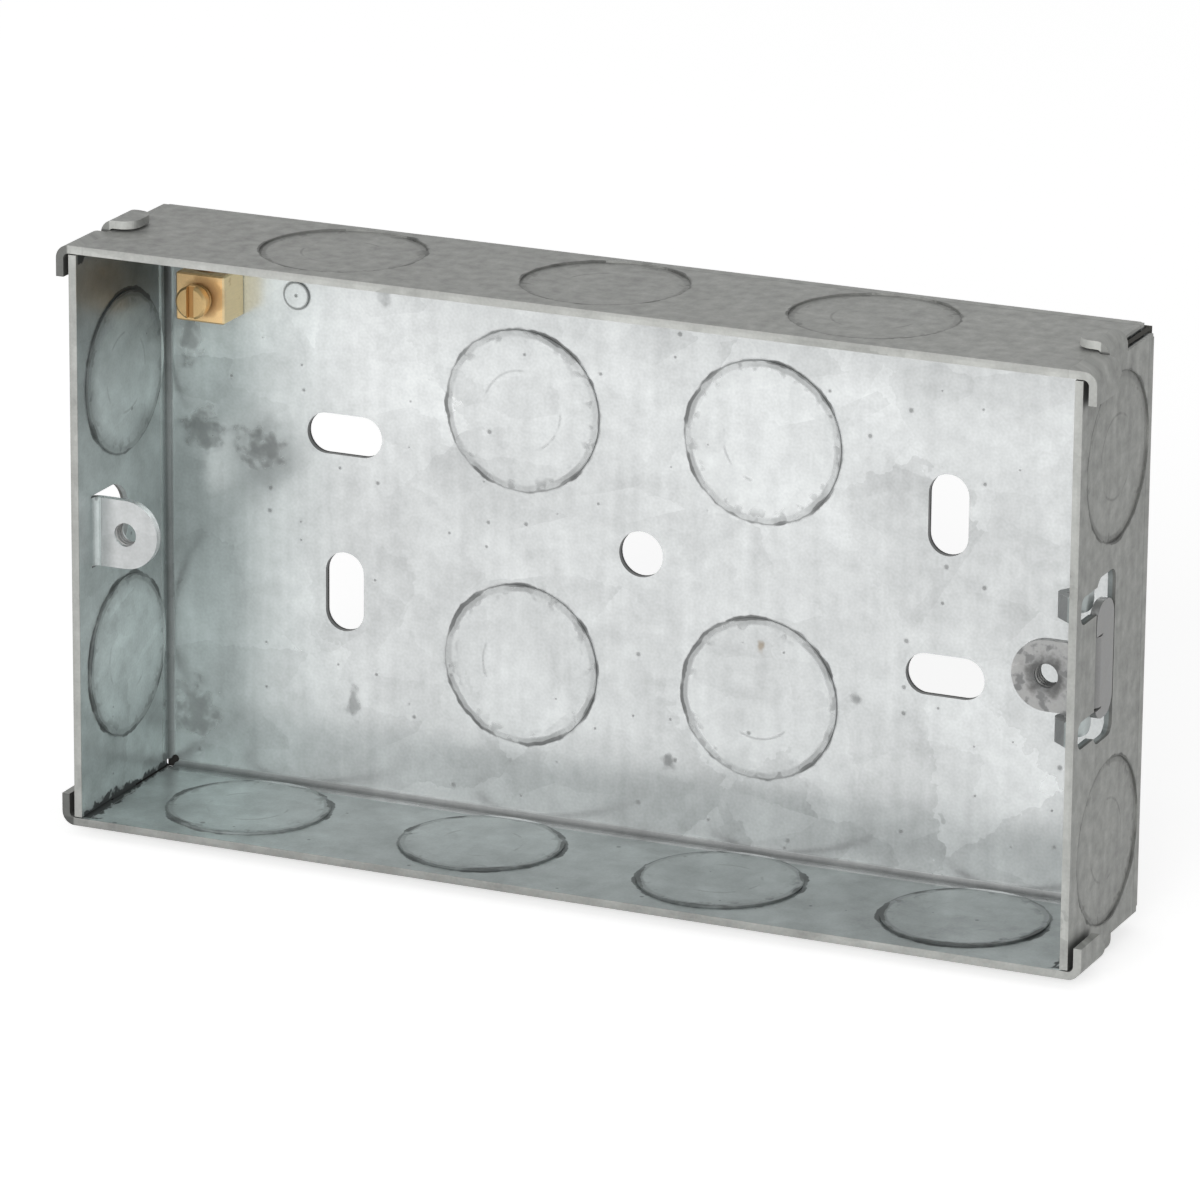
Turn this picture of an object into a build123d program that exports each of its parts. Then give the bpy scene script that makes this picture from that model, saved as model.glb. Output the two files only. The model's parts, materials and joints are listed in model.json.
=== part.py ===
from build123d import *
import os
from math import pi

# A flush wall box of folded galvanised sheet for a two-gang plate.
# Millimetres. +X runs along the length, +Z is up, the open front faces -Y.
# The origin is the centre of the back plate's outer face.

# Lugs for the plate's screws: their standard spacing sets the length of the box
lug_spacing = 120.6
lug_inset = 5.2
lug_setback = 4.2
lug_height = 8.7
lug_hole = 3.0
collar_diameter = 4.4
collar_length = 1.4
lance_gap = 0.25

# Folded box, measured over the outside of its walls
width = lug_spacing + 2 * lug_inset
height = 74.0
depth = 25.0
sheet = 1.0
bend_inside = 0.8
corner_slit = 0.15
corner_relief = 0.5
clinch_inside = 0.7

# Ears on the long walls that wrap over the end walls
ear_width = 8.0
ear_drop = 4.0
ear_gap = 0.7
ear_taper = 2.0

# Tabs on the end walls that fold over the long walls
tab_setback = 8.6
tab_width = 6.0
tab_reach = 4.4
tab_gap = 0.3
tab_round = 2.2

# Knock-outs: discs partly sheared from the sheet, half way up the walls, left standing a little inwards
knockout_diameter = 20.4
knockout_lift = 0.25
back_knockout_pitch_x = 31.8
back_knockout_pitch_z = 32.4
bottom_knockout_pitch = 31.8
top_knockout_pitch = 34.6
left_knockout_pitch = 36.4
right_knockout_inset = 13.4

# Fixings in the back plate
centre_hole = 5.8
slot_length = 10.2
slot_width = 5.2
slot_pitch_x = 80.0
slot_pitch_z = 20.2
pilot_diameter = 3.4
pilot_end_inset = 19.0
pilot_top_inset = 9.8

# Adjustable lug: a bar that slides in a window of the right wall, its ear a little below the bar's middle
lug_travel = 3.0
slide_gap = 0.25
window_front = 6.6
window_back = 12.8
window_height = 20.5
window_round = 1.5
bar_height = 14.4
bar_offset = 1.3
bar_round = 2.4
joggle_front = 7.0
joggle_back = 8.2
joggle_radius = 0.8

# Sprung tongues pressed in from the right wall, which hold the bar in its window
tongue_width = 3.0
tongue_slit = 0.2
tongue_front = 1.4
tongue_crest = 4.0
tongue_heel = 7.0
tongue_bulge = 3.1
tongue_lap = 2.2
tongue_round = 1.2

# Brass earth terminal on the back plate
terminal_end_inset = 8.4
terminal_top_inset = 10.1
terminal_width = 6.6
terminal_height = 6.1
terminal_length = 5.5
terminal_edge = 0.2
spigot_diameter = 3.2
spigot_gap = 0.05
wire_hole = 3.4
wire_floor = 1.0
screw_diameter = 3.4
screw_gap = 0.05
screw_standoff = 1.4
head_diameter = 4.2
head_length = 1.3
head_edge = 0.3
head_slot_width = 1.0
head_slot_depth = 0.7

# Places worked out from the sizes above
half_width = width / 2
half_height = height / 2
bend_outside = bend_inside + sheet
bend_middle = bend_inside + sheet / 2
clinch_middle = clinch_inside + sheet / 2
flat_half_width = half_width - bend_outside
flat_half_height = half_height - bend_outside
wall_flat = depth - bend_outside
long_half = half_width - sheet - corner_slit
end_half = half_height - sheet - corner_slit
end_middle = half_width - sheet / 2
long_middle = half_height - sheet / 2
terminal_x = terminal_end_inset - half_width
terminal_z = half_height - terminal_top_inset
pilot_x = pilot_end_inset - half_width
pilot_z = half_height - pilot_top_inset
knockout_setback = depth / 2
right_knockout_pitch = height - 2 * right_knockout_inset
lug_x = lug_spacing / 2
lug_half = lug_height / 2
lug_back = lug_setback + sheet
collar_back = lug_back + collar_length
lug_middle = lug_setback + sheet / 2
lug_rest = -lug_travel / 2
bar_rest = lug_rest + bar_offset
step_in = sheet + slide_gap
bar_front = window_front + slide_gap
bar_back = window_back - slide_gap
tongue_near = lug_half + lug_travel / 2 + slide_gap
tongue_middle = tongue_near + tongue_width / 2
tongue_end = bar_front + tongue_lap

# Section planes: the second sketch axis runs forward from the back plate
across = Plane(origin=(0, 0, 0), x_dir=(0, 0, 1), z_dir=(1, 0, 0))
along = Plane(origin=(0, 0, 0), x_dir=(1, 0, 0), z_dir=(0, 0, -1))

# Wall planes on the outer faces: setbacks are measured backwards from the rim
left_wall = Plane(origin=(-half_width, -depth, 0), x_dir=(0, 1, 0), z_dir=(1, 0, 0))
right_wall = Plane(origin=(half_width, -depth, 0), x_dir=(0, 1, 0), z_dir=(1, 0, 0))
bottom_wall = Plane(origin=(0, -depth, -half_height), x_dir=(1, 0, 0), z_dir=(0, 0, 1))
top_wall = Plane(origin=(0, -depth, half_height), x_dir=(1, 0, 0), z_dir=(0, 0, 1))


def forward(setback):
    """Distance in front of the back plate's outer face of a setback behind the rim."""
    return depth - setback


# Ears and tabs that clinch the four corners
with BuildPart() as corner_ears:
    with BuildSketch(Plane.XZ.offset(forward(ear_width))):
        with BuildLine():
            FilletPolyline(
                (long_half - sheet, long_middle),
                (half_width + ear_gap + sheet / 2, long_middle),
                (half_width + ear_gap + sheet / 2, half_height - ear_drop),
                radius=clinch_middle,
            )
        trace(line_width=sheet)
    extrude(amount=ear_width)
    with BuildSketch(right_wall):
        with Locations((ear_width, half_height - ear_drop)):
            Polygon((0, 0), (0, ear_taper), (-ear_taper, 0), align=None)
    extrude(amount=ear_gap + sheet, mode=Mode.SUBTRACT)
    mirror(about=Plane.YZ)
    mirror(about=Plane.XY)

with BuildPart() as corner_tabs:
    with BuildSketch(Plane.XZ.offset(forward(tab_setback + tab_width))):
        with BuildLine():
            FilletPolyline(
                (end_middle, end_half - sheet),
                (end_middle, half_height + tab_gap + sheet / 2),
                (half_width - tab_reach, half_height + tab_gap + sheet / 2),
                radius=clinch_middle,
            )
        trace(line_width=sheet)
    extrude(amount=tab_width)
    fillet(corner_tabs.edges().filter_by(Axis.Z).group_by(Axis.X)[0], radius=tab_round)
    mirror(about=Plane.YZ)
    mirror(about=Plane.XY)

# Guide tongues: each bulges in from the right wall and comes back to lie behind the sliding bar
with BuildPart() as guide_tongues:
    with BuildSketch(along.offset(-tongue_middle)):
        with BuildLine():
            FilletPolyline(
                (end_middle, forward(tongue_front - sheet)),
                (end_middle, forward(tongue_front)),
                (end_middle - tongue_bulge, forward(tongue_crest)),
                (end_middle - step_in, forward(tongue_heel)),
                (end_middle - step_in, forward(tongue_end)),
                radius=joggle_radius,
            )
        trace(line_width=sheet)
    extrude(amount=tongue_width / 2, both=True)
    fillet(guide_tongues.edges().filter_by(Axis.X).group_by(Axis.Y)[-1], radius=tongue_round)
    mirror(about=Plane.XY)

# Box body: one blank of sheet, pierced and folded
with BuildPart() as box_body:
    # Back plate with the top and bottom walls
    with BuildSketch(across):
        with BuildLine():
            FilletPolyline(
                (long_middle, depth),
                (long_middle, sheet / 2),
                (-long_middle, sheet / 2),
                (-long_middle, depth),
                radius=bend_middle,
            )
        trace(line_width=sheet)
    extrude(amount=flat_half_width, both=True)

    # Back plate with the end walls
    with BuildSketch(along):
        with BuildLine():
            FilletPolyline(
                (end_middle, depth),
                (end_middle, sheet / 2),
                (-end_middle, sheet / 2),
                (-end_middle, depth),
                radius=bend_middle,
            )
        trace(line_width=sheet)
    extrude(amount=flat_half_height, both=True)

    # In front of the folds the walls run on into the corners, up to the slit
    with BuildSketch(top_wall, bottom_wall.offset(sheet)):
        with Locations((0, wall_flat / 2)):
            Rectangle(2 * long_half, wall_flat)
    extrude(amount=-sheet)
    with BuildSketch(right_wall, left_wall.offset(sheet)):
        with Locations((wall_flat / 2, 0)):
            Rectangle(wall_flat, 2 * end_half)
    extrude(amount=-sheet)
    add(corner_ears.part)
    add(corner_tabs.part)

    # Relief holes where two folds meet
    with BuildSketch(Plane.XZ):
        with GridLocations(2 * flat_half_width, 2 * flat_half_height, 2, 2):
            Circle(corner_relief)
    extrude(amount=bend_outside, mode=Mode.SUBTRACT)

    # Knock-outs in every wall, and the small pilot beside the terminal: sunk outside, raised inside
    in_end_wall = Pos(knockout_setback, 0)
    in_long_wall = Pos(0, knockout_setback)
    back_places = GridLocations(back_knockout_pitch_x, back_knockout_pitch_z, 2, 2).local_locations
    bottom_places = GridLocations(bottom_knockout_pitch, 0, 4, 1).local_locations
    top_places = GridLocations(top_knockout_pitch, 0, 3, 1).local_locations
    left_places = GridLocations(0, left_knockout_pitch, 1, 2).local_locations
    right_places = GridLocations(0, right_knockout_pitch, 1, 2).local_locations
    for outer_face, inward, diameter, places in (
        (Plane.XZ, 1, knockout_diameter, back_places),
        (Plane.XZ, 1, pilot_diameter, [Pos(pilot_x, pilot_z)]),
        (bottom_wall, 1, knockout_diameter, [in_long_wall * place for place in bottom_places]),
        (top_wall, -1, knockout_diameter, [in_long_wall * place for place in top_places]),
        (left_wall, 1, knockout_diameter, [in_end_wall * place for place in left_places]),
        (right_wall, -1, knockout_diameter, [in_end_wall * place for place in right_places]),
    ):
        with BuildSketch(outer_face):
            with Locations(*places):
                Circle(diameter / 2)
        extrude(amount=inward * knockout_lift, mode=Mode.SUBTRACT)
        with BuildSketch(outer_face.offset(inward * sheet)):
            with Locations(*places):
                Circle(diameter / 2)
        extrude(amount=inward * knockout_lift)

    # Centre hole, pinwheel of fixing slots and the hole for the terminal's spigot
    with BuildSketch(Plane.XZ):
        Circle(centre_hole / 2)
        with Locations((-slot_pitch_x / 2, slot_pitch_z / 2), (slot_pitch_x / 2, -slot_pitch_z / 2)):
            SlotOverall(slot_length, slot_width)
        with Locations((slot_pitch_x / 2, slot_pitch_z / 2), (-slot_pitch_x / 2, -slot_pitch_z / 2)):
            SlotOverall(slot_length, slot_width, rotation=90)
        with Locations((terminal_x, terminal_z)):
            Circle(spigot_diameter / 2 + spigot_gap)
    extrude(amount=sheet, mode=Mode.SUBTRACT)

    # Fixed lug: a tongue lanced from the left wall, folded in behind the rim and drawn into a tapped collar
    # The window it leaves is its own outline laid flat, with the punch's clearance
    hinge = lug_setback - bend_inside
    flat_lug_centre = hinge + bend_middle * pi / 2 + end_middle - bend_middle - lug_x
    with BuildSketch(left_wall):
        with Locations(((hinge + flat_lug_centre) / 2, 0)):
            Rectangle(flat_lug_centre - hinge, lug_height + 2 * lance_gap)
        with Locations((flat_lug_centre, 0)):
            Circle(lug_half + lance_gap)
    extrude(amount=sheet, mode=Mode.SUBTRACT)
    with BuildSketch(along):
        with BuildLine():
            FilletPolyline(
                (-end_middle, forward(hinge - sheet)),
                (-end_middle, forward(lug_middle)),
                (-lug_x, forward(lug_middle)),
                radius=bend_middle,
            )
        trace(line_width=sheet)
    extrude(amount=lug_half, both=True)
    with BuildSketch(Plane.XZ.offset(forward(lug_back))):
        with Locations((-lug_x, 0)):
            Circle(lug_half)
            Rectangle(lug_height, lug_height, align=(Align.MAX, Align.CENTER), mode=Mode.SUBTRACT)
    extrude(amount=sheet)
    with BuildSketch(Plane.XZ.offset(forward(collar_back))):
        with Locations((-lug_x, 0)):
            Circle(collar_diameter / 2)
    extrude(amount=collar_length)
    with BuildSketch(Plane.XZ.offset(forward(collar_back))):
        with Locations((-lug_x, 0)):
            Circle(lug_hole / 2)
    extrude(amount=collar_length + sheet, mode=Mode.SUBTRACT)

    # Window for the sliding bar, and the notches that the guide tongues leave
    with BuildSketch(right_wall):
        with Locations(((window_front + window_back) / 2, 0)):
            RectangleRounded(window_back - window_front, window_height, window_round)
        notch_back = window_front + window_round
        with Locations((0, tongue_middle), (0, -tongue_middle)):
            with Locations(((tongue_front + notch_back) / 2, 0)):
                RectangleRounded(notch_back - tongue_front, tongue_width + 2 * tongue_slit, tongue_round)
    extrude(amount=-sheet, mode=Mode.SUBTRACT)
    add(guide_tongues.part)

# Adjustable lug: bar in the window, neck stepped in behind the wall, ear folded inwards
with BuildPart() as adjustable_lug:
    neck_cut = joggle_back + joggle_radius
    with BuildSketch(right_wall):
        with Locations(((bar_front + bar_back) / 2, bar_rest)):
            RectangleRounded(bar_back - bar_front, bar_height, bar_round)
        with Locations(((bar_front + neck_cut) / 2, lug_rest)):
            Rectangle(neck_cut - bar_front, lug_height + 2 * slide_gap, mode=Mode.SUBTRACT)
    extrude(amount=-sheet)
    with BuildSketch(along.offset(-lug_rest)):
        with BuildLine():
            FilletPolyline(
                (end_middle, forward(neck_cut + sheet)),
                (end_middle, forward(joggle_back)),
                (end_middle - step_in, forward(joggle_front)),
                (end_middle - step_in, forward(lug_middle)),
                (lug_x, forward(lug_middle)),
                radius=[joggle_radius, joggle_radius, bend_middle],
            )
        trace(line_width=sheet)
    extrude(amount=lug_half, both=True)
    with BuildSketch(Plane.XZ.offset(forward(lug_back))):
        with Locations((lug_x, lug_rest)):
            Circle(lug_half)
            Rectangle(lug_height, lug_height, align=(Align.MIN, Align.CENTER), mode=Mode.SUBTRACT)
    extrude(amount=sheet)
    with BuildSketch(Plane.XZ.offset(forward(collar_back))):
        with Locations((lug_x, lug_rest)):
            Circle(collar_diameter / 2)
    extrude(amount=collar_length)
    with BuildSketch(Plane.XZ.offset(forward(collar_back))):
        with Locations((lug_x, lug_rest)):
            Circle(lug_hole / 2)
    extrude(amount=collar_length + sheet, mode=Mode.SUBTRACT)

# Earth terminal block: brass bar with a wire hole, staked through the back plate by its spigot
terminal_front = sheet + terminal_length
wire_centre = sheet + wire_floor + wire_hole / 2
with BuildPart() as earth_terminal_block:
    with BuildSketch(Plane.XZ.offset(sheet)):
        with Locations((terminal_x, terminal_z)):
            Rectangle(terminal_width, terminal_height)
    extrude(amount=terminal_length)
    chamfer(earth_terminal_block.edges(), length=terminal_edge)
    with BuildSketch(Plane.XZ):
        with Locations((terminal_x, terminal_z)):
            Circle(spigot_diameter / 2)
    extrude(amount=sheet + terminal_edge)
    with BuildSketch(Plane.XY.offset(terminal_z - terminal_height / 2)):
        with Locations((terminal_x, -wire_centre)):
            Circle(wire_hole / 2)
    extrude(amount=terminal_height, mode=Mode.SUBTRACT)
    with BuildSketch(Plane.XZ.offset(wire_centre)):
        with Locations((terminal_x, terminal_z)):
            Circle(screw_diameter / 2 + screw_gap)
    extrude(amount=terminal_front - wire_centre, mode=Mode.SUBTRACT)

# Earth terminal screw: slotted cheese head, backed out of the block
head_back = terminal_front + screw_standoff
head_front = head_back + head_length
screw_tip = wire_centre + wire_hole / 2
with BuildPart() as earth_terminal_screw:
    with BuildSketch(Plane.XZ.offset(screw_tip)):
        with Locations((terminal_x, terminal_z)):
            Circle(screw_diameter / 2)
    extrude(amount=head_back - screw_tip)
    with BuildSketch(Plane.XZ.offset(head_back)):
        with Locations((terminal_x, terminal_z)):
            Circle(head_diameter / 2)
    extrude(amount=head_length)
    rim = earth_terminal_screw.faces().sort_by(Axis.Y)[0].edges()
    chamfer(rim, length=head_edge)
    with BuildSketch(Plane.XZ.offset(head_front - head_slot_depth)):
        with Locations((terminal_x, terminal_z)):
            Rectangle(head_slot_width, 2 * head_diameter)
    extrude(amount=head_slot_depth, mode=Mode.SUBTRACT)

os.makedirs("parts", exist_ok=True)
box_body.part.label = "box_body"
export_step(box_body.part, "parts/box_body.step")
adjustable_lug.part.label = "adjustable_lug"
export_step(adjustable_lug.part, "parts/adjustable_lug.step")
earth_terminal_block.part.label = "earth_terminal_block"
export_step(earth_terminal_block.part, "parts/earth_terminal_block.step")
earth_terminal_screw.part.label = "earth_terminal_screw"
export_step(earth_terminal_screw.part, "parts/earth_terminal_screw.step")
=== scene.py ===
import json
from math import cos, pi, radians, sin

import bmesh
import bpy
from mathutils import Euler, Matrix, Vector


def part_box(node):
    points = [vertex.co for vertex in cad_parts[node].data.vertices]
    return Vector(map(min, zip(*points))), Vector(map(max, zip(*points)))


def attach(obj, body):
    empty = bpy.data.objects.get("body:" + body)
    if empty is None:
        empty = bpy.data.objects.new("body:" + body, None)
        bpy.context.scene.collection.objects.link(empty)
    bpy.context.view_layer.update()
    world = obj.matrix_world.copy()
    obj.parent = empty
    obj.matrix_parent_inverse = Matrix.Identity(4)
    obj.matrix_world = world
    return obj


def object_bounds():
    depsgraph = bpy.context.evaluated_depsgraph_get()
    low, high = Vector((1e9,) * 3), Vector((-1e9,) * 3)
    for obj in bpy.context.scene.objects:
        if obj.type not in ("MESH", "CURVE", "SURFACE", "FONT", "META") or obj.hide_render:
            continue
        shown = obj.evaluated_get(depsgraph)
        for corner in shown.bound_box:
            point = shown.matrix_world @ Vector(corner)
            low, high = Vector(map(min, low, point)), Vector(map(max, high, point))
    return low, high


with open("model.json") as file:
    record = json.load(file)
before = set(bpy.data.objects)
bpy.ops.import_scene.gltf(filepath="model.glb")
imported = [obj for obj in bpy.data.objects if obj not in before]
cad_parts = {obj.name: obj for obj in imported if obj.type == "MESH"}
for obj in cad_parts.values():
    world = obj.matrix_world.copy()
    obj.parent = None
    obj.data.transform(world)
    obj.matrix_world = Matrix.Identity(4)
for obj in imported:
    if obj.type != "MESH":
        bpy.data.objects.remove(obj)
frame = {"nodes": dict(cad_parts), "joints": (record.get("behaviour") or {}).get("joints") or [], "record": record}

cad_low, cad_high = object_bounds()

# A flush wall box of folded galvanised sheet, dressed for its photograph.
# The row frame is in metres; the materials work in millimetres of the same frame.
mm = 0.001

# Folded sheet
half_width = 65.5
half_height = 37.0
depth = 25.0
sheet = 1.0
bend_inside = 0.8
bend_outside = bend_inside + sheet
ear_drop = 4.0
ear_width = 8.0
ear_end = half_height - ear_drop
ear_back = ear_width - depth

# A point belongs to a wall when it is this near the wall's outer face, and not when it is this far
wall_near = 1.8
wall_far = 2.0

# Knock-outs: their places on each wall, folded about the middle
knockout_radius = 10.2
back_knockout = (15.9, 16.2)
bottom_knockout_pitch = 31.8
top_knockout_pitch = 34.6
left_knockout = 18.2
right_knockout = 23.6
knockout_y = -depth / 2
pilot = (-46.5, 27.2)
pilot_radius = 1.7

# Threads: radius at the foot and at the crest, and pitch
head_length = 1.3
lug_thread = 2.4
screw_thread = (1.66, 1.95, 0.5)
lug_tapping = (1.52, 1.36, 0.6)
thread_clearance = 0.03

# Fixings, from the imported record
mounts = {mount["name"]: Vector(mount["pos_m"]) for mount in frame["record"]["mounts"]}
joints = {joint["name"]: joint for joint in frame["joints"]}
left_lug = mounts["left_lug_thread"]
right_lug = mounts["right_lug_thread"]
screw_axis = Vector(joints["terminal_screw_turn"]["pos_m"])
screw_low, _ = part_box("earth_terminal_screw")
block_low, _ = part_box("earth_terminal_block")

# Stains on the inside of the back plate: x, z, half width, half height, strength
stains = (
    (-59.5, 8.0, 3.2, 3.4, 0.50),
    (-51.2, 7.0, 3.8, 3.2, 0.55),
    (-61.2, 19.8, 1.8, 4.0, 0.45),
    (-60.8, -28.6, 4.0, 4.5, 0.45),
    (3.9, -26.0, 1.1, 1.6, 0.48),
    (-38.7, -24.8, 1.0, 2.6, 0.38),
    (-34.4, 29.0, 1.2, 2.2, 0.28),
    (28.6, -14.5, 0.8, 0.8, 0.45),
)
rust_mark = (16.0, -9.8, 0.9, 1.4)

# Colours: tints of the zinc, then brass, tarnish with painted shade, and dirt with painted shade
cool_zinc = (0.975, 1.0, 1.0)
wall_zinc = (0.91, 1.0, 0.99)
outer_zinc = (0.985, 1.0, 0.955)
lug_zinc = (1.0, 0.985, 0.955)
lug_blotch = (0.97, 0.99, 1.0)
rust_brown = (0.52, 0.40, 0.26)
block_brass = (0.97, 0.67, 0.335)
sawn_brass = (0.76, 0.61, 0.36)
block_tarnish_and_shade = (0.30, 0.14, 0.035)
screw_brass = (0.68, 0.47, 0.22)
screw_tarnish_and_shade = (0.34, 0.16, 0.04)
low_dirt_and_shade = (0.030, 0.029, 0.027)
high_dirt_and_shade = (0.110, 0.108, 0.100)

# Light and floor: the world's strength, the floor's glow where seen, and the zinc's specular level
ambient = 0.38
floor_glow = 0.62
zinc_specular = 0.25
white = (1.0, 1.0, 1.0, 1.0)
pale_grey = (0.85, 0.85, 0.85, 1.0)


class Field:
    """A value that varies over a surface: a socket's value, times a scale, plus an offset.

    Plain numbers go into the scale and the offset, and arithmetic on two fields adds a math node.
    """

    def __init__(self, tree, socket, scale=1.0, offset=0.0):
        self.tree = tree
        self.socket = socket
        self.scale = scale
        self.offset = offset

    def bare(self):
        """The socket's own value, without the scale and the offset."""
        return Field(self.tree, self.socket)

    def plain(self):
        """A socket that gives the whole value."""
        if (self.scale, self.offset) != (1.0, 0.0):
            self.socket = self.bare().math("MULTIPLY_ADD", self.scale, self.offset).socket
            self.scale, self.offset = 1.0, 0.0
        return self.socket

    def feed(self, socket):
        self.tree.links.new(self.plain(), socket)

    def math(self, operation, *others):
        node = self.tree.nodes.new("ShaderNodeMath")
        node.operation = operation
        for socket, value in zip(node.inputs, (self, *others)):
            put(socket, value)
        return Field(self.tree, node.outputs[0])

    def __add__(self, other):
        if not isinstance(other, Field):
            return Field(self.tree, self.socket, self.scale, self.offset + other)
        total = self.bare().math("MULTIPLY_ADD", self.scale / other.scale, other.bare())
        return Field(self.tree, total.socket, other.scale, self.offset + other.offset)

    def __mul__(self, other):
        if not isinstance(other, Field):
            return Field(self.tree, self.socket, self.scale * other, self.offset * other)
        for field in (self, other):
            if field.offset:
                field.plain()
        product = self.bare().math("MULTIPLY", other.bare())
        return Field(self.tree, product.socket, self.scale * other.scale)

    def __sub__(self, other):
        return self + other * -1.0

    def __rsub__(self, other):
        return self * -1.0 + other

    def __abs__(self):
        return self.math("ABSOLUTE")

    __radd__ = __add__

    def least(self, other):
        return self.math("MINIMUM", other)

    def most(self, other):
        return self.math("MAXIMUM", other)

    def rise(self, low, high, top=1.0):
        """A smooth step from 0 at low to the top at high; it falls where high is less than low."""
        node = self.tree.nodes.new("ShaderNodeMapRange")
        node.interpolation_type = "SMOOTHSTEP"
        node.inputs["To Max"].default_value = top
        if isinstance(low, Field):
            put(node.inputs["Value"], self)
            put(node.inputs["From Min"], low)
            put(node.inputs["From Max"], high)
        else:
            put(node.inputs["Value"], self.bare())
            node.inputs["From Min"].default_value = (low - self.offset) / self.scale
            node.inputs["From Max"].default_value = (high - self.offset) / self.scale
        return Field(self.tree, node.outputs["Result"])


def put(socket, value):
    """A field is linked to the socket, and a plain value is set on it."""
    if isinstance(value, Field):
        value.feed(socket)
    else:
        socket.default_value = value


def distance(across, along):
    """How far a point is from the middle, from its two coordinates."""
    node = across.tree.nodes.new("ShaderNodeCombineXYZ")
    put(node.inputs[0], across)
    put(node.inputs[1], along)
    length = across.tree.nodes.new("ShaderNodeVectorMath")
    length.operation = "LENGTH"
    across.tree.links.new(node.outputs[0], length.inputs[0])
    return Field(across.tree, length.outputs["Value"])


def choose(where, there, elsewhere):
    """The first value where the mask is 1, and the second where it is 0."""
    if not isinstance(there, Field) and not isinstance(elsewhere, Field):
        return where * (there - elsewhere) + elsewhere
    node = where.tree.nodes.new("ShaderNodeMix")
    put(node.inputs[0], where)
    put(node.inputs[2], elsewhere)
    put(node.inputs[3], there)
    return Field(where.tree, node.outputs[0])


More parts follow.
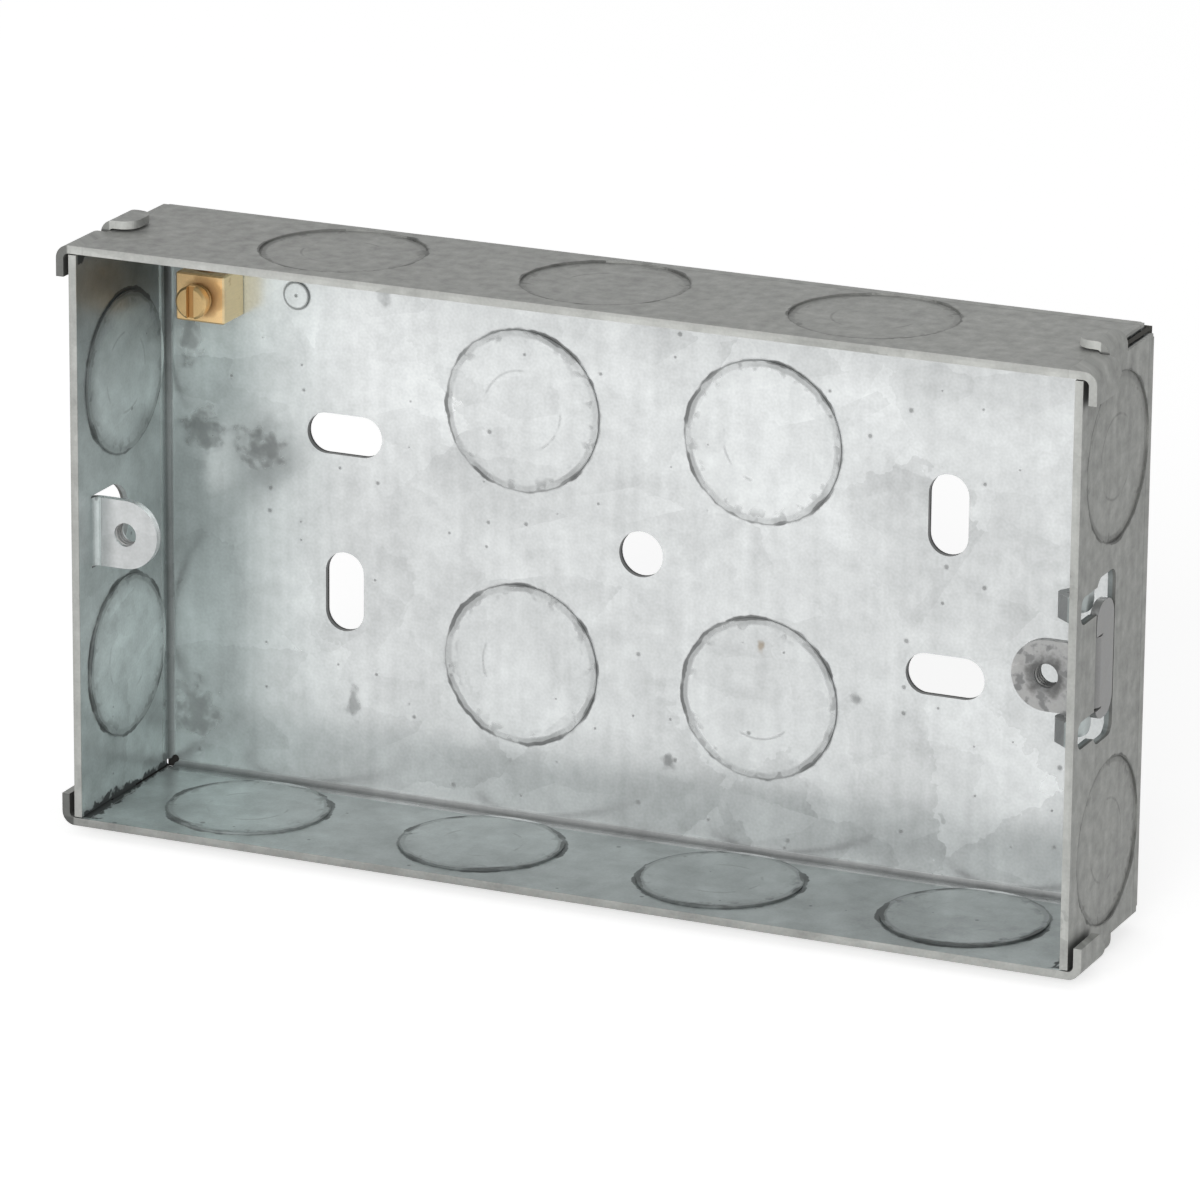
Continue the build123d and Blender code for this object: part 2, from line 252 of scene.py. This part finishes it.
class Shader:
    """One material, with the textures that its surface is mixed from."""

    def __init__(self, name):
        self.material = bpy.data.materials.new(name)
        self.material.use_nodes = True
        self.tree = self.material.node_tree
        self.surface = self.tree.nodes["Principled BSDF"]
        coordinates = self.tree.nodes.new("ShaderNodeTexCoord")
        self.place = self.tree.nodes.new("ShaderNodeVectorMath")
        self.place.operation = "SCALE"
        self.tree.links.new(coordinates.outputs["Object"], self.place.inputs[0])
        self.place.inputs["Scale"].default_value = 1 / mm
        x, y, z = self.axes()
        folded = y * abs(x).rise(half_width - wall_far, half_width - wall_near)
        unrolled = self.tree.nodes.new("ShaderNodeCombineXYZ")
        put(unrolled.inputs[0], x + folded)
        put(unrolled.inputs[1], z + y - folded)
        self.unrolled = unrolled.outputs[0]

    def axes(self):
        """Millimetres along X, Y and Z."""
        node = self.tree.nodes.new("ShaderNodeSeparateXYZ")
        self.tree.links.new(self.place.outputs[0], node.inputs[0])
        return [Field(self.tree, output) for output in node.outputs]

    def normal(self):
        """The parts of the face's direction along X, Y and Z."""
        geometry = self.tree.nodes.new("ShaderNodeNewGeometry")
        node = self.tree.nodes.new("ShaderNodeSeparateXYZ")
        self.tree.links.new(geometry.outputs["True Normal"], node.inputs[0])
        return [Field(self.tree, output) for output in node.outputs]

    def scaled(self, size, stretch, shift):
        """Coordinates in which a feature of this size, drawn out by the stretch, is one unit long.

        A stretch along three axes gives a texture in space, and one along two axes a texture of the
        unrolled sheet, which costs less.
        """
        node = self.tree.nodes.new("ShaderNodeMapping")
        source = self.place.outputs[0] if len(stretch) == 3 else self.unrolled
        self.tree.links.new(source, node.inputs["Vector"])
        scale = [1 / (size * length) for length in stretch]
        node.inputs["Scale"].default_value = (scale + [0.0])[:3]
        node.inputs["Location"].default_value = (shift, 2 * shift, 3 * shift * (len(stretch) - 2))
        return node.outputs["Vector"]

    def noise(self, size, detail, shift, stretch=(1, 1)):
        """Cloudy noise from 0 to 1 with features of about this size in millimetres."""
        node = self.tree.nodes.new("ShaderNodeTexNoise")
        node.noise_dimensions = f"{len(stretch)}D"
        self.tree.links.new(self.scaled(size, stretch, shift), node.inputs["Vector"])
        node.inputs["Scale"].default_value = 1.0
        node.inputs["Detail"].default_value = detail
        return Field(self.tree, node.outputs["Fac"])

    def cells(self, size, shift):
        """Angular cells of about this size: a random value of each, and how far its seed is."""
        node = self.tree.nodes.new("ShaderNodeTexVoronoi")
        node.voronoi_dimensions = "2D"
        self.tree.links.new(self.scaled(size, (1, 1), shift), node.inputs["Vector"])
        node.inputs["Scale"].default_value = 1.0
        split = self.tree.nodes.new("ShaderNodeSeparateColor")
        self.tree.links.new(node.outputs["Color"], split.inputs[0])
        return Field(self.tree, split.outputs[0]), Field(self.tree, node.outputs["Distance"])

    def vector(self, operation, first, second):
        """A vector sum on two sockets, or on a socket and a plain vector."""
        node = self.tree.nodes.new("ShaderNodeVectorMath")
        node.operation = operation
        self.tree.links.new(first, node.inputs[0])
        if isinstance(second, tuple):
            node.inputs[1].default_value = second
        else:
            self.tree.links.new(second, node.inputs[1])
        return node.outputs

    def crystals(self, size, stretch, shift, ruffle):
        """Angular crystals of about this size, each with its own tone and slope, about -1 to 1."""
        node = self.tree.nodes.new("ShaderNodeTexVoronoi")
        node.voronoi_dimensions = "2D"
        place = self.vector("ADD", self.scaled(size, stretch, shift), ruffle.plain())["Vector"]
        self.tree.links.new(place, node.inputs["Vector"])
        node.inputs["Scale"].default_value = 1.0
        from_seed = self.vector("SUBTRACT", place, node.outputs["Position"])["Vector"]
        lean = self.vector("SUBTRACT", node.outputs["Color"], (0.5, 0.5, 0.5))["Vector"]
        slope = Field(self.tree, self.vector("DOT_PRODUCT", from_seed, lean)["Value"])
        tone = Field(self.tree, self.vector("DOT_PRODUCT", lean, (1.0, 0.0, 0.0))["Value"])
        return tone * 1.4 + slope * 1.5

    def reach(self, centre, half_sizes):
        """Distance across the back plate from a mark's middle, where 1 is the mark's half size."""
        across, up = centre
        wide, high = half_sizes
        node = self.tree.nodes.new("ShaderNodeMapping")
        self.tree.links.new(self.place.outputs[0], node.inputs["Vector"])
        node.inputs["Location"].default_value = (-across / wide, 0.0, -up / high)
        node.inputs["Scale"].default_value = (1 / wide, 0.0, 1 / high)
        length = self.tree.nodes.new("ShaderNodeVectorMath")
        length.operation = "LENGTH"
        self.tree.links.new(node.outputs["Vector"], length.inputs[0])
        return Field(self.tree, length.outputs["Value"])

    def mixed(self, factor, first, second):
        """The first colour where the factor is 0 and the second where it is 1."""
        node = self.tree.nodes.new("ShaderNodeMix")
        node.data_type = "RGBA"
        colours = [socket for socket in node.inputs if socket.type == "RGBA"]
        put(node.inputs["Factor"], factor)
        for socket, colour in zip(colours, (first, second)):
            put(socket, colour if isinstance(colour, Field) else (*colour, 1.0))
        return Field(self.tree, node.outputs[2])

    def toned(self, colour, tone):
        """A colour made lighter or darker by a field."""
        node = self.tree.nodes.new("ShaderNodeVectorMath")
        node.operation = "SCALE"
        colour.feed(node.inputs[0])
        put(node.inputs["Scale"], tone)
        return Field(self.tree, node.outputs[0])

    def relief(self, height):
        """Bumps of this height in millimetres."""
        bump = self.tree.nodes.new("ShaderNodeBump")
        bump.inputs["Strength"].default_value = 1.0
        bump.inputs["Distance"].default_value = mm
        height.feed(bump.inputs["Height"])
        self.tree.links.new(bump.outputs[0], self.surface.inputs["Normal"])

    def finish(self, colour, metallic, roughness, specular):
        put(self.surface.inputs["Base Color"], colour)
        put(self.surface.inputs["Metallic"], metallic)
        put(self.surface.inputs["Roughness"], roughness)
        self.surface.inputs["Specular IOR Level"].default_value = specular
        return self.material


def spangle(shader, ruffle):
    """Zinc crystals with feathered edges: large patches over smaller ones, from about -1 to 1."""
    large = shader.crystals(15.0, stretch=(1.0, 1.4), shift=0.0, ruffle=ruffle)
    small = shader.crystals(6.0, stretch=(1.5, 0.8), shift=7.0, ruffle=ruffle)
    return large * 0.7 + small * 0.5


def specks(shader, size, largest, share, shift):
    """Small dark spots up to the largest radius, in this share of the cells."""
    chance, reach = shader.cells(size, shift)
    present = chance.rise(1 - share, 1 - share + 0.02)
    radius = chance.rise(0.8 - share, 1.3) * (largest / size)
    return reach.rise(radius, radius * 0.4) * present


def knockout_distance(x, y, z, on_back, on_end):
    """Distance from the middle of the nearest knock-out of the wall that a point is on."""
    across = abs(x)
    up = abs(z)
    along_bottom = abs(abs(across - bottom_knockout_pitch) - bottom_knockout_pitch / 2)
    along_top = across.least(abs(across - top_knockout_pitch))
    along_wall = choose(z.rise(-0.1, 0.1), along_top, along_bottom)
    along_end = abs(up - choose(x.rise(-0.1, 0.1), right_knockout, left_knockout))
    along = choose(on_end, along_end, along_wall)
    aside = choose(on_back, across - back_knockout[0], along)
    other = choose(on_back, up - back_knockout[1], y - knockout_y)
    return distance(aside, other)


def galvanised_sheet():
    """The folded box: spangled, painted bright inside and darker outside as lit and shaded zinc, duller outside,
    with the marks of the press.
    """
    shader = Shader("galvanised_sheet")
    x, y, z = shader.axes()
    nx, ny, nz = shader.normal()
    across = abs(x)
    up = abs(z)

    # Where a point is on the folded sheet
    outside = (across - half_width).most(up - half_height).most(y).rise(-0.45, -0.35)
    inside = 1 - outside
    on_back = y.rise(-3.2, -2.8)
    on_end = across.rise(half_width - wall_far, half_width - wall_near)
    on_long = up.rise(half_height - wall_far, half_height - wall_near)
    on_wall = on_end.most(on_long) * (1 - on_back)
    on_lug = 1 - on_back.most(on_wall)
    rim = y.rise(0.2 - depth, 0.05 - depth)

    # Zinc: broad clouds, dull patches, mottling, drawn-out rolling marks, fine grain and crystals
    cloud = shader.noise(22.0, detail=1.0, shift=19.0)
    patch = shader.noise(5.0, detail=3.0, shift=23.0)
    mottle = shader.noise(1.8, detail=2.0, shift=29.0)
    streaks = shader.noise(1.6, detail=1.0, stretch=(1, 14), shift=11.0)
    grain = shader.noise(0.35, detail=0.0, shift=5.0)
    crystal = spangle(shader, (mottle - 0.5) * 0.22)

    # Sheared rings of the knock-outs: painted shade along the sharp edge and in a painted groove just inside it,
    # wider on the inner walls as painted shadow of the raised edges, and smudges of the punch
    radial = knockout_distance(x, y, z, on_back, on_end)
    heavy = patch.rise(0.42, 0.66)
    width = (heavy * 0.18 + 0.10) * (1 + on_wall * inside * (1 - on_end * 0.6))
    ragged = (mottle - 0.5) * 0.5 + radial
    edge = abs(ragged - knockout_radius).rise(width + 0.12, width - 0.06) * (heavy * 0.30 + 0.42)
    groove = abs(ragged - (knockout_radius - 0.3)).rise(0.70, 0.35) * (heavy * 0.22 + 0.16)
    ring = edge.most(groove) * choose(outside, 0.75, 1.0)
    inward = knockout_radius - radial
    rub = inward.rise(2.4, 0.2) * inward.rise(-0.2, 0.0) * mottle.rise(0.54, 0.68)
    tool_ring = abs(radial - knockout_radius * 0.5).rise(0.25, 0.05) * patch.rise(0.5, 0.62)
    from_pilot = shader.reach(pilot, (1.0, 1.0))
    pilot_ring = abs(from_pilot - pilot_radius).rise(0.28, 0.08).most(from_pilot.rise(0.3, 0.15))
    pilot_ring = pilot_ring * on_back

    # Painted shade in the folds, deeper towards the top, and darkening along the corner seams, which spreads
    # towards the front
    fold_end = (across - (half_width - bend_outside)).least(y + bend_outside)
    fold_long = (up - (half_height - bend_outside)).least(y + bend_outside)
    fold = fold_end.most(fold_long).rise(-0.1, 0.25) * inside * (z.rise(8.0, 26.0) * 0.22 + 0.62)
    from_seam = (across - (half_width - sheet)).least(up - (half_height - sheet))
    spread = y.rise(-8.0, -22.0) * 1.4 + 2.2
    seam = (from_seam + mottle * spread).rise(0.35, 0.85) * inside
    seam = seam * y.rise(0.3 - depth, 0.8 - depth)
    # Painted shade on the pressed-in guide tongues on the right
    guide_tongue_shade = on_lug * x.rise(0.0, 1.0)
    # Painted shadow on the end walls' outsides, in the gap under the ears' ends
    under_ear_shadow = outside * on_end * across.rise(half_width + 0.4, half_width + 0.2) * (1 - rim)
    under_ear_shadow = under_ear_shadow * up.rise(half_height - 0.7, half_height - 0.9)
    under_ear_shadow = under_ear_shadow * up.rise(ear_end - 1.0, ear_end + 0.5) * y.rise(ear_back, ear_back - 1.5)

    # Painted shade on the cut edges of the holes: those of the back plate, then those of the end walls
    hole_edge_shade = abs(ny).rise(0.6, 0.3) * y.rise(-1.1, -1.02) * (1 - on_end.most(on_long))
    sawn = abs(ny).rise(0.5, 0.8) * y.rise(0.3 - depth, 0.6 - depth) * y.rise(-2.2, -2.6)
    sawn = sawn.most(abs(nz).rise(0.5, 0.8) * up.rise(30.0, 28.0))
    sawn = sawn * across.rise(half_width - sheet - 0.2, half_width - sheet - 0.05)

    # Specks and stains
    spots = specks(shader, size=5.0, largest=0.68, share=0.28, shift=41.0) * inside * (1 - rim)
    blur = mottle * 1.7 - 0.85
    stain = None
    for stain_x, stain_z, wide, high, strength in stains:
        blot = (shader.reach((stain_x, stain_z), (wide, high)) + blur).rise(1.1, 0.25, strength)
        stain = blot if stain is None else stain.most(blot)
    stain = stain * on_back * inside
    rust = (shader.reach(rust_mark[:2], rust_mark[2:]) + blur).rise(0.9, 0.2) * on_back * inside

    # Lightness of each place, with painted light and shade: the back plate lighter than the walls and the outside,
    # as lit and shaded copies of the zinc, and the left ears in painted shade where they face the front and the
    # wall
    disc = radial.rise(knockout_radius - 0.5, knockout_radius - 3.0)
    # Painted shade: the end walls darker towards the top, under the top wall, and the long walls darker towards
    # the right
    shade = choose(on_end, z.rise(9.0, 33.0, 0.72), x.rise(-70.0, 70.0, 0.36))
    wall_tone = (cloud * 0.25 + on_end * disc * 0.18 + 0.41) * (1 - shade)
    # Painted light on the upper back plate, and a painted reflection of the left wall, darker and greener, along
    # the back plate's left edge
    left_wall_reflection = x.rise(-36.0, -62.0)
    painted_top_light = z.rise(0.0, 30.0) * x.rise(55.0, -20.0)
    back_tone = 0.70 + (cloud - 0.5) * 0.12 + (streaks - 0.5) * 0.10
    back_tone = back_tone + painted_top_light * 0.10 - left_wall_reflection * 0.15
    inner_tone = choose(on_wall, wall_tone, back_tone)
    # Outside: lighter towards the right as painted light, with rolling streaks on the end walls and mottling
    outer_tone = 0.35 + x * 0.00035 + (streaks - 0.5) * on_end * 0.12 + (mottle - 0.5) * 0.14
    tone = choose(outside, outer_tone, inner_tone)
    # Rims: painted light and shade, the bottom rim darker and lighter towards the right, the top rim lighter
    # towards the top
    low_rim = x.rise(-30.0, 64.0) * 0.12 + 0.30
    high_rim = z.rise(20.0, 36.0) * 0.03 + 0.43
    rim_tone = choose(z.rise(0.8 - half_height, 1.2 - half_height), high_rim, low_rim)
    tone = choose(rim, rim_tone, tone)
    # Painted highlight on the fronts of the tabs
    tab_front_highlight = up.rise(half_height + 0.05, half_height + 0.15) * ny.rise(-0.3, -0.7)
    tone = choose(tab_front_highlight, 0.60, tone)
    # Painted shade on the left ears where they face the front and the wall
    left_ear_shade = x.rise(-half_width, -half_width - 0.3) * (nx - ny).rise(0.3, 0.7)
    tone = tone * (1 - left_ear_shade * 0.62)
    tone = tone * (
        1.0
        + crystal * choose(outside, 0.08, 0.13)
        + (patch - 0.5) * choose(on_wall * inside, 0.55, 0.25)
        + (mottle - 0.5) * 0.20
        + (grain - 0.5) * 0.12
    )

    # The strongest mark at each point
    marks = (
        (rub, 0.42), (tool_ring, 0.22), (pilot_ring, 0.55),
        (fold, 1.0), (seam, 0.85), (guide_tongue_shade, 0.60), (under_ear_shadow, 0.70),
        (spots, 0.45), (stain, 1.0), (hole_edge_shade, 0.75), (sawn, 0.45),
    )
    dark = ring
    for mark, strength in marks:
        dark = dark.most(mark * strength)
    tone = tone * (1 - dark)

    # Cool zinc inside, greener on the walls and in the painted reflection of the left wall on the back plate,
    # warmer and duller outside, a little rust
    tint = shader.mixed(on_wall.most(left_wall_reflection * on_back), cool_zinc, wall_zinc)
    tint = shader.mixed(outside.most(rim), tint, outer_zinc)
    tint = shader.mixed(rust * 0.7, tint, rust_brown)
    colour = shader.toned(tint, tone)

    metallic = choose(outside, 0.25, 0.60) * (1 - dark * 0.7)
    roughness = choose(outside, 0.52, choose(on_wall, 0.34, 0.22)) + crystal * 0.05 + dark * 0.25
    shader.relief(shader.noise(14.0, detail=0.0, shift=53.0) * 0.05)
    return shader.finish(colour, metallic, roughness, zinc_specular)


def worn_zinc():
    """The sliding lug: blotchy zinc, blackened round its thread."""
    shader = Shader("worn_zinc")
    x, _, z = shader.axes()
    nx, _, _ = shader.normal()
    grain = shader.noise(0.35, detail=1.0, shift=5.0)
    blotch = shader.noise(1.6, detail=4.0, shift=61.0)
    crystal = spangle(shader, (blotch - 0.5) * 0.4)
    outward = nx.rise(0.3, 0.7)
    from_hole = distance(x - right_lug.x / mm, z - right_lug.z / mm)
    soot = (from_hole + (blotch - 0.5) * 3.0).rise(3.2, 1.4) * (1 - outward)
    marks = blotch.rise(0.50, 0.66) * (1 - outward)
    dark = (soot * 0.66).most(marks * 0.42)
    # Faces turned outwards darker, as painted shade like the box's outside
    tone = choose(outward, 0.34, 0.39) * (1.0 + crystal * 0.10 + (grain - 0.5) * 0.12)
    tone = tone * (1 - dark)
    tint = shader.mixed(blotch, lug_zinc, lug_blotch)
    colour = shader.toned(tint, tone)
    metallic = choose(outward, 0.25, 0.50) * (1 - dark * 0.7)
    roughness = 0.40 + crystal * 0.06 + dark * 0.25
    shader.relief(blotch * 0.03 + grain * 0.005)
    return shader.finish(colour, metallic, roughness, zinc_specular)


def machined_brass(name, light, sawn, deep):
    """Turned and sawn brass: fine tool lines, tarnish in clouds and close to the screw, a painted shadow of the
    screw's head, and painted shade in its slot.
    """
    shader = Shader(name)
    x, y, z = shader.axes()
    nx, _, _ = shader.normal()
    lines = shader.noise(0.12, detail=2.0, stretch=(1, 12, 1), shift=5.0)
    cloud = shader.noise(1.4, detail=3.0, stretch=(1, 1, 1), shift=9.0)
    from_screw_x = x - screw_axis.x / mm
    from_screw_z = z - screw_axis.z / mm
    behind_front = y - block_low.y / mm
    # Tarnish round the screw's shank, with a painted shadow of the head to its upper right
    smear = distance(from_screw_x - 0.6, from_screw_z - 0.4) + (cloud - 0.5) * 1.2
    shank_tarnish_and_shadow = smear.rise(3.0, 2.2) * behind_front.rise(1.0, 0.2) * behind_front.rise(-1.6, -1.2)
    # Painted shade in the head's slot
    behind_face = y - screw_low.y / mm
    slot_shade = behind_face.rise(0.3, 0.6) * behind_face.rise(head_length, head_length - 0.1)
    slot_shade = slot_shade * distance(from_screw_x, from_screw_z).rise(2.05, 1.95)
    tarnish_and_shade = (shank_tarnish_and_shadow * 0.46).most(slot_shade * 0.7).most(cloud.rise(0.62, 0.8) * 0.4)
    colour = shader.mixed(nx.rise(0.4, 0.8), light, sawn)
    colour = shader.mixed(tarnish_and_shade, colour, deep)
    colour = shader.toned(colour, 0.86 + lines * 0.2 + (cloud - 0.5) * 0.15)
    roughness = 0.28 + lines * 0.14 + tarnish_and_shade * 0.2
    shader.relief(lines * 0.006 + cloud * 0.01)
    return shader.finish(colour, metallic=0.75, roughness=roughness, specular=0.5)


def dirt_and_shade_fill():
    """Dirt and painted shade in the corners, paler at the top of the box."""
    shader = Shader("corner_dirt_and_shade")
    _, _, z = shader.axes()
    colour = shader.mixed(z.rise(-1.0, 1.0), low_dirt_and_shade, high_dirt_and_shade)
    return shader.finish(colour, metallic=0.0, roughness=0.9, specular=0.1)


def helix_ridge(name, centre, sizes, start, end, body, material):
    """A V-shaped screw ridge about a line along Y, from the foot's radius to the crest's."""
    foot_radius, crest_radius, pitch = (size * mm for size in sizes)
    steps_per_turn = 28
    steps_of_fade = 6
    least_height = 0.05
    half_foot = 0.42
    half_crest = 0.08
    turns = (end - start - pitch) / pitch
    steps = round(turns * steps_per_turn)
    mesh = bmesh.new()
    rows = []
    for step in range(steps + 1):
        angle = 2 * pi * step / steps_per_turn
        y = start + pitch / 2 + pitch * step / steps_per_turn
        fade = min(1.0, step / steps_of_fade, (steps - step) / steps_of_fade)
        crest = foot_radius + (crest_radius - foot_radius) * max(fade, least_height)
        points = (
            (foot_radius, -half_foot),
            (crest, -half_crest),
            (crest, half_crest),
            (foot_radius, half_foot),
        )
        rows.append([
            (centre.x + r * cos(angle), y + shift * pitch, centre.z + r * sin(angle))
            for r, shift in points
        ])
    loft(mesh, rows)
    bmesh.ops.recalc_face_normals(mesh, faces=mesh.faces)
    data = bpy.data.meshes.new(name)
    mesh.to_mesh(data)
    mesh.free()
    data.polygons.foreach_set("use_smooth", [True] * len(data.polygons))
    data.materials.append(material)
    piece = bpy.data.objects.new(name, data)
    bpy.context.scene.collection.objects.link(piece)
    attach(piece, body)


def loft(mesh, rows):
    """Closed walls between rows of four points, capped at both ends."""
    points = [[mesh.verts.new(point) for point in row] for row in rows]
    for first, second in zip(points, points[1:]):
        for k in range(4):
            mesh.faces.new((first[k], first[(k + 1) % 4], second[(k + 1) % 4], second[k]))
    mesh.faces.new(points[0])
    mesh.faces.new(reversed(points[-1]))


def corner_dark_fill(material):
    """Dark strips behind the slits and plugs in the relief holes of the four corners: dirt, and painted shade
    where the gaps would show the floor behind.
    """
    clearance = 0.13
    near_edge = half_width - sheet - clearance
    low_edge = half_height - sheet - clearance
    reach = 0.40
    thick = 0.10
    front = 0.4 - depth
    back = -1.2
    steps = 28
    ripple = 0.04
    plug_inner = -1.45
    plug_outer = 0.50
    plug_ends = (-0.75, -0.5)
    plug = (
        (plug_inner, plug_inner),
        (plug_outer, plug_inner),
        (plug_outer, plug_outer),
        (plug_inner, plug_outer),
    )

    def at_corner(side, level, section, y):
        return [
            (side * (near_edge + u) * mm, y * mm, level * (low_edge + v) * mm)
            for u, v in section
        ]

    mesh = bmesh.new()
    for side in (-1, 1):
        for level in (-1, 1):
            strip = []
            for step in range(steps + 1):
                y = front + (back - front) * step / steps
                swell = ripple + ripple * sin(2.3 * y) * sin(0.9 * y + side + 2 * level)
                section = (
                    (swell, reach),
                    (reach, swell),
                    (reach + thick, swell + thick),
                    (swell + thick, reach + thick),
                )
                strip.append(at_corner(side, level, section, y))
            loft(mesh, strip)
            loft(mesh, [at_corner(side, level, plug, y) for y in plug_ends])
    bmesh.ops.recalc_face_normals(mesh, faces=mesh.faces)
    data = bpy.data.meshes.new("corner_dark_fill")
    mesh.to_mesh(data)
    mesh.free()
    data.materials.append(material)
    piece = bpy.data.objects.new("corner_dark_fill", data)
    bpy.context.scene.collection.objects.link(piece)
    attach(piece, "box")


def dress(node, material):
    """Gives a solid its finish."""
    data = frame["nodes"][node].data
    data.materials.clear()
    data.materials.append(material)


sheet_finish = galvanised_sheet()
lug_finish = worn_zinc()
block_finish = machined_brass("brass_block", block_brass, sawn_brass, block_tarnish_and_shade)
screw_finish = machined_brass("brass_screw", screw_brass, screw_brass, screw_tarnish_and_shade)
corner_dirt_and_shade = dirt_and_shade_fill()
dress("box_body", sheet_finish)
dress("adjustable_lug", lug_finish)
dress("earth_terminal_block", block_finish)
dress("earth_terminal_screw", screw_finish)

corner_dark_fill(corner_dirt_and_shade)

# Threads: the screw's between its head and the block, and those tapped in the two lugs
head_back = screw_low.y + head_length * mm
helix_ridge(
    "terminal_screw_thread", screw_axis, screw_thread,
    head_back, block_low.y - thread_clearance * mm, "terminal_screw", screw_finish,
)
tapped_lugs = (
    ("left_lug_tapping", left_lug, "box"),
    ("right_lug_tapping", right_lug, "lug"),
)
for name, lug, body in tapped_lugs:
    helix_ridge(
        name, lug, lug_tapping,
        lug.y, lug.y + lug_thread * mm, body, lug_finish,
    )


def white_where_seen(tree, strength):
    """The strength for rays from the camera, mirrors and glass, and 0 for other rays."""
    path = tree.nodes.new("ShaderNodeLightPath")
    seen = Field(tree, path.outputs["Is Camera Ray"])
    seen = seen.most(Field(tree, path.outputs["Is Glossy Ray"]))
    seen = seen.most(Field(tree, path.outputs["Is Transmission Ray"]))
    return seen * strength


def white_floor():
    """A pale floor that looks white and keeps a faint shadow."""
    half_side = 3.0
    data = bpy.data.meshes.new("floor")
    level = cad_low.z
    corners = [
        (-half_side, -half_side, level),
        (half_side, -half_side, level),
        (half_side, half_side, level),
        (-half_side, half_side, level),
    ]
    data.from_pydata(corners, [], [(0, 1, 2, 3)])
    material = bpy.data.materials.new("floor")
    material.use_nodes = True
    tree = material.node_tree
    surface = tree.nodes["Principled BSDF"]
    surface.inputs["Base Color"].default_value = pale_grey
    surface.inputs["Roughness"].default_value = 0.9
    surface.inputs["Specular IOR Level"].default_value = 0.0
    surface.inputs["Emission Color"].default_value = white
    put(surface.inputs["Emission Strength"], white_where_seen(tree, floor_glow))
    data.materials.append(material)
    floor = bpy.data.objects.new("floor", data)
    bpy.context.scene.collection.objects.link(floor)


def white_world():
    """Even soft light, and a white background where it is seen."""
    world = bpy.data.worlds.new("studio")
    bpy.context.scene.world = world
    world.use_nodes = True
    tree = world.node_tree
    background = tree.nodes["Background"]
    background.inputs["Color"].default_value = white
    put(background.inputs["Strength"], white_where_seen(tree, 1.0 - ambient) + ambient)


def soft_lamp(name, azimuth, elevation, reach, size, power):
    """A square soft box that faces the object from this direction."""
    data = bpy.data.lights.new(name, "AREA")
    data.size = size
    data.energy = power
    lamp = bpy.data.objects.new(name, data)
    turn = radians(azimuth)
    rise = radians(elevation)
    away = Vector((sin(turn) * cos(rise), -cos(turn) * cos(rise), sin(rise)))
    lamp.location = away * reach
    lamp.rotation_euler = away.to_track_quat("Z", "Y").to_euler()
    bpy.context.scene.collection.objects.link(lamp)


def photo_camera():
    """The photograph's view: a long lens from the right and a little above."""
    data = bpy.data.cameras.new("camera")
    data.lens = 238.94
    data.sensor_width = 36.0
    camera = bpy.data.objects.new("camera", data)
    target = Vector((-0.319, -12.5, -2.638)) * mm
    azimuth = radians(23.83)
    elevation = radians(17.185)
    roll = radians(0.513)
    standoff = 960.2
    away = Vector((sin(azimuth) * cos(elevation), -cos(azimuth) * cos(elevation), sin(elevation)))
    camera.location = target + away * standoff * mm
    facing = away.to_track_quat("Z", "Y")
    camera.rotation_euler = (facing @ Euler((0, 0, roll)).to_quaternion()).to_euler()
    bpy.context.scene.collection.objects.link(camera)
    bpy.context.scene.camera = camera


white_floor()
white_world()
soft_lamp("key", azimuth=8.0, elevation=12.0, reach=1.5, size=1.1, power=15.0)
photo_camera()
bpy.context.scene.view_settings.view_transform = "Standard"
